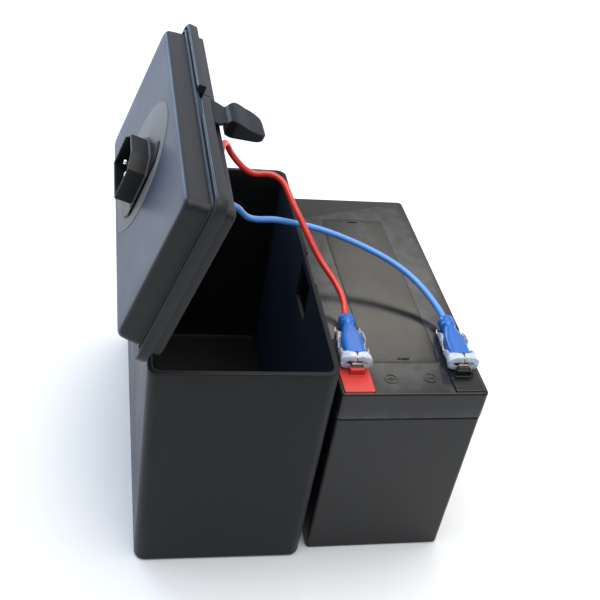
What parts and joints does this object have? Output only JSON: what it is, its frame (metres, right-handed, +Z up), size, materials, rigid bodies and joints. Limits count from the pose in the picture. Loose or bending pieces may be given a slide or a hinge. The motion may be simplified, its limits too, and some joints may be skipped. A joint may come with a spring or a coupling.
{
  "type": "deep cycle battery",
  "caption": "Sealed deep cycle battery beside its open carry box, with a hinged snap lid, lid socket and two leads with push-on connectors.",
  "frame": {"origin": "centre of the carry box's flat resting face", "axes": "+X across the box towards the battery, +Y along the box and battery away from the terminals' end, +Z up"},
  "size_m": [0.1576, 0.1586, 0.1885],
  "materials": {
    "box_plastic": "fine satin texture",
    "lid_plastic": "fine satin texture",
    "latch_plastic": "satin",
    "label": "matt, blank",
    "socket_plastic": "satin",
    "rubber_trim": "matt",
    "contact_metal": "bright plated",
    "brass_parts": "tinned brass",
    "red_sleeve": "gloss",
    "blue_sleeve": "gloss",
    "case_plastic": "semi-gloss ABS",
    "cover_plastic": "gloss ABS",
    "lead_metal": "dull lead",
    "glass_mat": "white fibre mat",
    "red_pad": "gloss",
    "black_pad": "gloss",
    "tab_metal": "tinned",
    "red_wire": "soft gloss PVC",
    "blue_wire": "soft gloss PVC",
    "blue_barrel": "gloss nylon",
    "clear_sleeve": "milky clear",
    "pin_steel": "plain"
  },
  "bodies": {
    "root": {"box_shell": "box_plastic", "hinge_pin_front": "pin_steel", "hinge_pin_rear": "pin_steel", "battery_container": "case_plastic", "battery_cover": "cover_plastic", "vent_cover_plate": "cover_plastic", "vent_valves": "rubber_trim", "cell_straps": "lead_metal", "positive_plates": "lead_metal", "negative_plates": "lead_metal", "separators": "glass_mat", "positive_terminal_pad": "red_pad", "negative_terminal_pad": "black_pad", "positive_terminal_tab": "tab_metal", "negative_terminal_tab": "tab_metal", "red_lead": "red_wire", "blue_lead": "blue_wire", "red_connector_body": "blue_barrel", "blue_connector_body": "blue_barrel", "red_connector_sleeve": "clear_sleeve", "blue_connector_sleeve": "clear_sleeve", "red_connector_receptacle": "brass_parts", "blue_connector_receptacle": "brass_parts"},
    "lid": {"lid_shell": "lid_plastic", "label_disc": "label", "socket_shroud": "socket_plastic", "socket_gasket": "rubber_trim", "socket_insert": "socket_plastic", "socket_contact_red": "contact_metal", "socket_contact_blue": "contact_metal", "lid_receptacle_red": "brass_parts", "lid_receptacle_blue": "brass_parts", "lid_sleeve_red": "red_sleeve", "lid_sleeve_blue": "blue_sleeve"},
    "latch": {"latch_tongue": "latch_plastic"}
  },
  "joints": [
    {"name": "lid_hinge", "type": "hinge", "parent": "root", "child": "lid", "pos_m": [-0.04075, 0, 0.1126], "axis": [0, 1, 0], "range_deg": [-34, 70.9], "deforming": ["latch_tongue", "red_lead", "blue_lead"]},
    {"name": "latch_flex", "type": "hinge", "parent": "lid", "child": "latch", "pos_m": [-0.01434, -0.00785, 0.18642], "axis": [0, 1, 0], "range_deg": [-12, 0], "stiffness_Nm_per_rad": 0.6, "deforming": ["latch_tongue"]}
  ]
}
